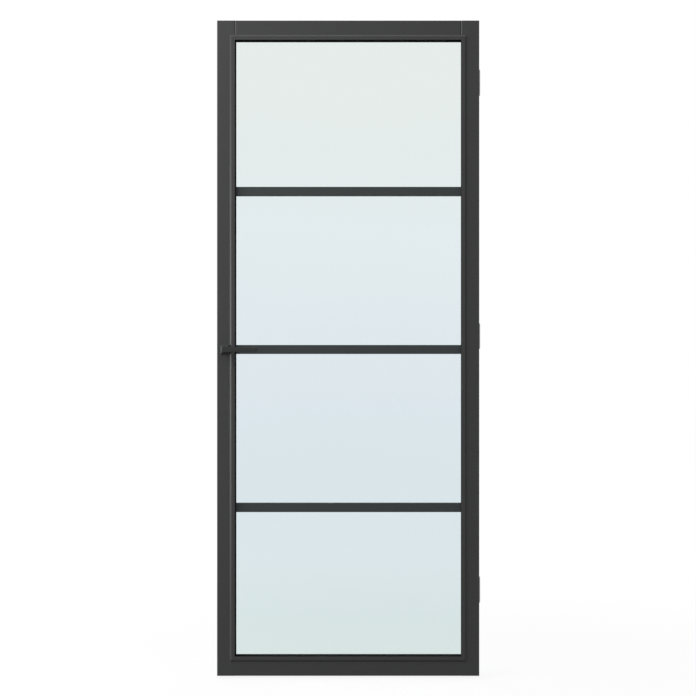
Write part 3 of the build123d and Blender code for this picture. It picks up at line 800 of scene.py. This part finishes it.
class Shape:
    """A mesh in the making. New points are moved by its stand."""

    def __init__(self) -> None:
        """Starts with an empty mesh at the origin."""
        self.mesh = bmesh.new()
        self.stand = Matrix.Identity(4)

    def stand_at(self, place: Vector, along: Vector, turn: float = 0.0) -> None:
        """Moves what is made next.

        Args:
            place: Where its origin goes.
            along: Where its Z axis points.
            turn: How far it is turned about that axis.
        """
        aim = along.to_track_quat("Z", "Y").to_matrix().to_4x4()
        self.stand = Matrix.Translation(place) @ aim @ Matrix.Rotation(turn, 4, "Z")

    def ring(self, points: Sequence[Vector]) -> list[bmesh.types.BMVert]:
        """New vertices at those points."""
        return [self.mesh.verts.new(self.stand @ Vector(point)) for point in points]

    def skin(self, rings: Sequence[list[bmesh.types.BMVert]]) -> None:
        """Joins rings of equal counts, each to the next, with quads.

        Args:
            rings: The rings in their order.
        """
        for low, high in zip(rings, rings[1:]):
            for i in range(len(low)):
                j = (i + 1) % len(low)
                self.mesh.faces.new((low[i], low[j], high[j], high[i]))

    def tube(self, path: Sequence[Vector], radius: float, sides: int = 10) -> None:
        """A round wire with flat ends.

        Args:
            path: The points of its centre line.
            radius: Its radius.
            sides: How many sides it has around.
        """
        rings, across = [], None
        for i, point in enumerate(path):
            ahead = (path[min(i + 1, len(path) - 1)] - path[max(i - 1, 0)]).normalized()
            start = across or ahead.orthogonal()
            across = (start - ahead * start.dot(ahead)).normalized()
            up = ahead.cross(across)
            angles = [2 * math.pi * k / sides for k in range(sides)]
            rings.append(
                self.ring([point + radius * (math.cos(a) * across + math.sin(a) * up) for a in angles])
            )
        self.skin(rings)
        self.mesh.faces.new(list(reversed(rings[0])))
        self.mesh.faces.new(rings[-1])

    def piece(self, name: str, slot: Slot, smooth_under: float = 35.0) -> bpy.types.Object:
        """Ends the making.

        Args:
            name: The piece's name.
            slot: The slot that its finish comes from.
            smooth_under: The sharpest angle that is shaded smooth, in degrees.

        Returns:
            The object.
        """
        bmesh.ops.recalc_face_normals(self.mesh, faces=self.mesh.faces)
        data = bpy.data.meshes.new(name)
        self.mesh.to_mesh(data)
        self.mesh.free()
        data.shade_smooth()
        data.set_sharp_from_angle(angle=math.radians(smooth_under))
        data.materials.append(material_of(slot))
        made = bpy.data.objects.new(name, data)
        bpy.context.scene.collection.objects.link(made)
        return made


@dataclass(frozen=True)
class WoodScrew:
    """A countersunk wood screw with a cross recess and a rolled thread."""

    length: float
    head_radius: float = 3.5 * MM
    shank_radius: float = 1.75 * MM
    core_radius: float = 1.2 * MM
    rim: float = 0.12 * MM
    plain_end: float = 4.5 * MM
    point_length: float = 3.5 * MM
    pitch: float = 1.8 * MM
    thread_half: float = 0.42 * MM
    recess_reach: float = 1.95 * MM
    recess_half: float = 0.42 * MM
    recess_depth: float = 1.7 * MM
    recess_taper: float = 0.42
    recess_steps: tuple[float, ...] = (0.1, 0.25, 0.5, 0.75)
    tip_share: float = 0.04
    thread_steps: int = 16
    thread_foot: float = 0.94
    thread_end_half: float = 0.15
    thread_end_rise: float = 0.05

    def cross(self) -> list[tuple[float, float]]:
        """The outline of the recess.

        Returns:
            Its points, going round once from the end of one arm.
        """
        reach, half = self.recess_reach, self.recess_half
        arm = [(reach, 0.0), (reach, half)]
        arm += [(half + (reach - half) * share, half) for share in reversed(self.recess_steps)]
        arm += [(half, half)]
        arm += [(half, half + (reach - half) * share) for share in self.recess_steps]
        arm += [(half, reach)]
        turns = [(1, 0), (0, 1), (-1, 0), (0, -1)]
        return [(x * c - y * s, x * s + y * c) for c, s in turns for x, y in arm]

    def core_at(self, depth: float) -> float:
        """The core's radius at a depth below the head's face."""
        return self.core_radius * min(1.0, (self.length - depth) / self.point_length)

    def add_to(self, shape: Shape, place: Vector, along: Vector, turn: float) -> None:
        """Adds one screw.

        Args:
            shape: The mesh to add it to.
            place: The middle of the head's face.
            along: The way it is driven.
            turn: How far the recess is turned.
        """
        shape.stand_at(place, along, turn)
        outline = self.cross()
        angles = [math.atan2(y, x) for x, y in outline]
        drop = self.head_radius - self.shank_radius
        profile = [
            (self.head_radius - self.rim, 0.0),
            (self.head_radius, self.rim),
            (self.shank_radius, drop),
            (self.shank_radius, self.plain_end),
            (self.core_radius, self.plain_end + self.shank_radius - self.core_radius),
            (self.core_radius, self.length - self.point_length),
            (self.core_radius * self.tip_share, self.length),
        ]
        taper = self.recess_taper
        floor = shape.ring([(x * taper, y * taper, self.recess_depth) for x, y in outline])
        mouth = shape.ring([(x, y, 0.0) for x, y in outline])
        body = [shape.ring([(r * math.cos(a), r * math.sin(a), z) for a in angles]) for r, z in profile]
        shape.skin([floor, mouth, *body])
        shape.mesh.faces.new(floor)
        shape.mesh.faces.new(list(reversed(body[-1])))
        self._add_thread(shape)

    def _add_thread(self, shape: Shape) -> None:
        """Adds the ridge of the thread, which runs out at both ends.

        Args:
            shape: The mesh to add it to.
        """
        steps = self.thread_steps
        start, end = self.plain_end + self.pitch / 2, self.length - 2 * self.thread_half
        count = round((end - start) / self.pitch * steps)
        rings = []
        for i in range(count + 1):
            depth = start + (end - start) * i / count
            angle = 2 * math.pi * i / steps
            rise = min(1.0, i / steps, (count - i) / steps)
            core = self.core_at(depth)
            foot = core * self.thread_foot
            half = self.thread_half * max(rise, self.thread_end_half)
            crest = core + (self.shank_radius - self.core_radius) * max(rise, self.thread_end_rise)
            section = [(foot, -half), (crest, 0.0), (foot, half)]
            rings.append(
                shape.ring([(r * math.cos(angle), r * math.sin(angle), depth + z) for r, z in section])
            )
        shape.skin(rings)
        shape.mesh.faces.new(list(reversed(rings[0])))
        shape.mesh.faces.new(rings[-1])


# Sub-assemblies


@dataclass
class SubAssembly:
    """Pieces of the door that are made and finished together."""

    def nodes(self) -> list[str]:
        """The names of its CAD nodes."""
        raise NotImplementedError

    def build(self) -> list[bpy.types.Object]:
        """Makes the pieces that stand for CAD nodes in more detail, if there are any."""
        return []

    def dress(self) -> None:
        """Gives each CAD node the material of its slot."""
        slots = {row["node"]: Slot(row["material_slot"]) for row in frame["record"]["subparts"]}
        for name in self.nodes():
            node = frame["nodes"][name]
            if not node.material_slots:
                node.data.materials.append(None)
            for place in node.material_slots:
                place.material = material_of(slots[name])


@dataclass
class LeafFrame(SubAssembly):
    """The stiles and rails with their dowels."""

    def nodes(self) -> list[str]:
        """The names of its CAD nodes."""
        return ["latch_stile", "hinge_stile", "top_rail", "bottom_rail", "frame_dowels"]


@dataclass
class Glazing(SubAssembly):
    """The glass, what it sits on, and the beads around it."""

    faces: tuple[str, ...] = ("front", "back")
    sides: tuple[str, ...] = ("top", "bottom", "latch_side", "hinge_side")

    def nodes(self) -> list[str]:
        """Lists its CAD nodes.

        Returns:
            Their names.
        """
        beads = [f"{face}_bead_{side}" for face in self.faces for side in self.sides]
        tapes = [f"glazing_tape_{face}" for face in self.faces]
        return ["glass_pane", "setting_blocks", *tapes, *beads]


@dataclass
class CrossBars(SubAssembly):
    """The flat bars on both faces of the glass."""

    faces: tuple[str, ...] = ("front", "back")
    levels: tuple[str, ...] = ("top", "middle", "bottom")

    def nodes(self) -> list[str]:
        """The names of its CAD nodes."""
        return ["bar_tapes", *(f"{face}_bar_{level}" for face in self.faces for level in self.levels)]


@dataclass
class Handle(SubAssembly):
    """The levers on their spindle, with the roses that carry them."""

    faces: tuple[str, ...] = ("front", "back")

    def nodes(self) -> list[str]:
        """Lists its CAD nodes.

        Returns:
            Their names.
        """
        kinds = ("lever", "rose_cover", "rose_plate")
        pairs = [f"{kind}_{face}" for kind in kinds for face in self.faces]
        return [*pairs, "lever_bushes", "spindle", "grub_screws", "rose_bolts"]


@dataclass
class Latch(SubAssembly):
    """The magnetic latch in the leaf's edge, with its two springs."""

    axis_x: float = -381.5 * MM
    axis_z: float = 1012.0 * MM
    bolt_z: float = 1037.0 * MM
    edge_x: float = -406.45 * MM
    screw_levels: tuple[float, ...] = (985.0 * MM, 1061.0 * MM)
    screw: WoodScrew = WoodScrew(length=19.0 * MM)
    first_turn: float = 0.4
    turn_step: float = 1.9
    guide_x: float = -387.5 * MM
    lug_x: float = -373.5 * MM
    throw: float = 10.0 * MM
    bolt_coil_radius: float = 2.9 * MM
    bolt_wire: float = 0.3 * MM
    bolt_turns: float = 7.5
    bolt_steps: int = 28
    end_turns: float = 1.25
    end_pitch: float = 2.1
    hub_coil_radius: float = 7.75 * MM
    hub_wire: float = 0.4 * MM
    hub_turns: int = 3
    hub_steps: int = 36
    hub_start_y: float = 0.95 * MM
    hub_end_y: float = 4.25 * MM
    hub_leg: float = 5.0 * MM
    smooth_under: float = 60.0

    def nodes(self) -> list[str]:
        """The names of its CAD nodes."""
        case = ["latch_forend", "forend_screws", "latch_case", "latch_cover", "cover_screws"]
        return [*case, "latch_bolt", "bolt_magnet", "bolt_spring", "follower", "follower_spring"]

    def build(self) -> list[bpy.types.Object]:
        """Makes the forend's screws and both springs."""
        return [self._screws(), self._bolt_spring(), self._follower_spring()]

    def _screws(self) -> bpy.types.Object:
        """Makes the two screws of the forend.

        Returns:
            The piece.
        """
        shape = Shape()
        for i, level in enumerate(self.screw_levels):
            turn = self.first_turn + self.turn_step * i
            self.screw.add_to(shape, Vector((self.edge_x, 0.0, level)), Vector((1, 0, 0)), turn)
        piece = shape.piece("forend_wood_screws", Slot.SATIN_STEEL)
        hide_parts("forend_screws")
        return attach(piece, Body.LEAF.value)

    def _bolt_spring(self) -> bpy.types.Object:
        """Makes the weak spring on the bolt's tail, with closed ends, which the bolt squeezes.

        Returns:
            The piece.
        """
        low, high = self.guide_x + self.bolt_wire, self.lug_x - self.bolt_wire
        dead = self.end_turns * self.end_pitch * self.bolt_wire
        shape, path = Shape(), []
        count = round(self.bolt_turns * self.bolt_steps)
        for i in range(count + 1):
            turn = i / self.bolt_steps
            open_share = (turn - self.end_turns) / (self.bolt_turns - 2 * self.end_turns)
            if open_share < 0:
                along = low + dead * turn / self.end_turns
            elif open_share > 1:
                along = high - dead * (self.bolt_turns - turn) / self.end_turns
            else:
                along = low + dead + (high - low - 2 * dead) * open_share
            angle = 2 * math.pi * turn
            y, z = self.bolt_coil_radius * math.cos(angle), self.bolt_coil_radius * math.sin(angle)
            path.append(Vector((along, y, self.bolt_z + z)))
        shape.tube(path, self.bolt_wire)
        piece = shape.piece("bolt_return_spring", Slot.SPRING, self.smooth_under)
        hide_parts("bolt_spring")
        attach(piece, Body.LEAF.value)
        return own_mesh(piece)

    def _follower_spring(self) -> bpy.types.Object:
        """Makes the torsion spring around the hub, with one leg on the case and one on the follower.

        Returns:
            The piece.
        """
        shape, coil = Shape(), []
        rise = self.hub_end_y - self.hub_start_y
        count = self.hub_turns * self.hub_steps
        for i in range(count + 1):
            angle = 2 * math.pi * i / self.hub_steps
            x, z = self.hub_coil_radius * math.sin(angle), self.hub_coil_radius * math.cos(angle)
            y = self.hub_start_y + rise * i / count
            coil.append(Vector((self.axis_x + x, y, self.axis_z + z)))
        leg = Vector((self.hub_leg, 0.0, 0.0))
        shape.tube([coil[0] - leg, *coil, coil[-1] + leg], self.hub_wire)
        piece = shape.piece("lever_return_spring", Slot.SPRING, self.smooth_under)
        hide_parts("follower_spring")
        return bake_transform(piece)


@dataclass
class Hinges(SubAssembly):
    """Three butt hinges, with the screws that hold them to the leaf."""

    levels: tuple[float, ...] = (1844.0 * MM, 1053.5 * MM, 263.0 * MM)
    names: tuple[str, ...] = ("top", "middle", "bottom")
    edge_x: float = 406.45 * MM
    screw_y: float = 7.0 * MM
    spacing: float = 27.0 * MM
    screw: WoodScrew = WoodScrew(length=24.0 * MM)
    first_turn: float = 0.7
    hinge_turn: float = 1.3
    hole_turn: float = 2.1

    def nodes(self) -> list[str]:
        """The names of its CAD nodes."""
        kinds = ("leaf_plate", "frame_plate", "pin")
        return ["hinge_screws", *(f"{name}_hinge_{kind}" for name in self.names for kind in kinds)]

    def build(self) -> list[bpy.types.Object]:
        """Makes the nine screws.

        Returns:
            The piece that holds them.
        """
        shape = Shape()
        for i, level in enumerate(self.levels):
            for step in (-1, 0, 1):
                place = Vector((self.edge_x, self.screw_y, level + step * self.spacing))
                turn = self.first_turn + self.hinge_turn * i + self.hole_turn * step
                self.screw.add_to(shape, place, Vector((-1, 0, 0)), turn)
        piece = shape.piece("hinge_wood_screws", Slot.SATIN_STEEL)
        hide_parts("hinge_screws")
        return [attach(piece, Body.LEAF.value)]


# Studio


@dataclass(frozen=True)
class Lamp:
    """A square soft lamp."""

    name: str
    place: Point
    aim: Point
    size: float
    power: float

    def hang(self) -> None:
        """Puts the lamp in its place, turned to its aim. It doesn't show in the glass."""
        data = bpy.data.lights.new(self.name, "AREA")
        data.shape, data.size, data.energy = "SQUARE", self.size, self.power
        lamp = bpy.data.objects.new(self.name, data)
        lamp.location = self.place
        lamp.rotation_mode = "QUATERNION"
        lamp.rotation_quaternion = (Vector(self.aim) - Vector(self.place)).to_track_quat("-Z", "Y")
        lamp.visible_transmission = False
        bpy.context.scene.collection.objects.link(lamp)


@dataclass
class Studio:
    """White surroundings, a pale floor just under the leaf, and soft lamps."""

    ambient: float = 0.80
    floor_level: float = -8.0 * MM
    floor_half: float = 24.0
    paper: FloorPaper = FloorPaper()
    lamps: tuple[Lamp, ...] = field(
        default_factory=lambda: (
            Lamp("key", (-2.1, -2.0, 3.0), (0.0, 0.0, 1.1), 1.8, 68.0),
            Lamp("top_light", (-0.3, -0.45, 4.3), (0.0, 0.0, 1.6), 1.6, 22.0),
            Lamp("left_light", (-3.3, -0.75, 1.1), (-0.2, 0.0, 0.9), 1.6, 72.0),
            Lamp("back_fill", (-2.6, 4.6, 3.4), (0.0, 0.0, 1.0), 2.4, 90.0),
        )
    )

    def build(self) -> None:
        """Sets up the world, the floor and the lamps."""
        world = bpy.data.worlds.new("surroundings")
        bpy.context.scene.world = world
        graph = Graph(world)
        strength = self.ambient + (1 - self.ambient) * rays_that_see(graph)
        sky = graph.node("Background", {}, {"Color": (1.0, 1.0, 1.0, 1.0), "Strength": strength})
        graph.close(sky, "OutputWorld")
        self._lay_floor()
        for lamp in self.lamps:
            lamp.hang()
        bpy.context.scene.view_settings.view_transform = "Standard"

    def _lay_floor(self) -> None:
        """Lays the floor."""
        material = bpy.data.materials.new("finish_floor_paper")
        graph = Graph(material)
        graph.close(self.paper.surface(graph))
        sheet = bmesh.new()
        bmesh.ops.create_grid(sheet, x_segments=8, y_segments=8, size=self.floor_half)
        data = bpy.data.meshes.new("floor")
        sheet.to_mesh(data)
        sheet.free()
        data.materials.append(material)
        floor = bpy.data.objects.new("floor", data)
        floor.location.z = self.floor_level
        bpy.context.scene.collection.objects.link(floor)


@dataclass(frozen=True)
class Viewpoint:
    """The camera, level and a little to the right of the leaf, with its view framed on the leaf."""

    place: Point = (0.20, -5.2, 1.0166)
    framed_x: float = -0.5 * MM
    framed_y: float = -17.5 * MM
    framed_height: float = 2.158
    sensor_mm: float = 36.0
    reach: float = 120.0

    def build(self) -> None:
        """Sets up the camera, looking along +Y."""
        data = bpy.data.cameras.new("camera")
        data.sensor_width, data.clip_end = self.sensor_mm, self.reach
        data.lens = self.sensor_mm * (self.framed_y - self.place[1]) / self.framed_height
        data.shift_x = (self.framed_x - self.place[0]) / self.framed_height
        camera = bpy.data.objects.new("camera", data)
        camera.location = self.place
        camera.rotation_euler = (math.pi / 2, 0.0, 0.0)
        bpy.context.scene.collection.objects.link(camera)
        bpy.context.scene.camera = camera


def main() -> None:
    """Builds the view, the studio and the door, and reports each piece."""
    logging.basicConfig(level=logging.INFO, format="%(message)s")
    Viewpoint().build()
    Studio().build()
    for group in (LeafFrame(), Glazing(), CrossBars(), Handle(), Latch(), Hinges()):
        group.dress()
        made = [piece.name for piece in group.build()]
        nodes, pieces = ", ".join(group.nodes()), ", ".join(made) or "nothing"
        log.info("%s: nodes %s, made %s", type(group).__name__, nodes, pieces)


if __name__ == "__main__":
    main()
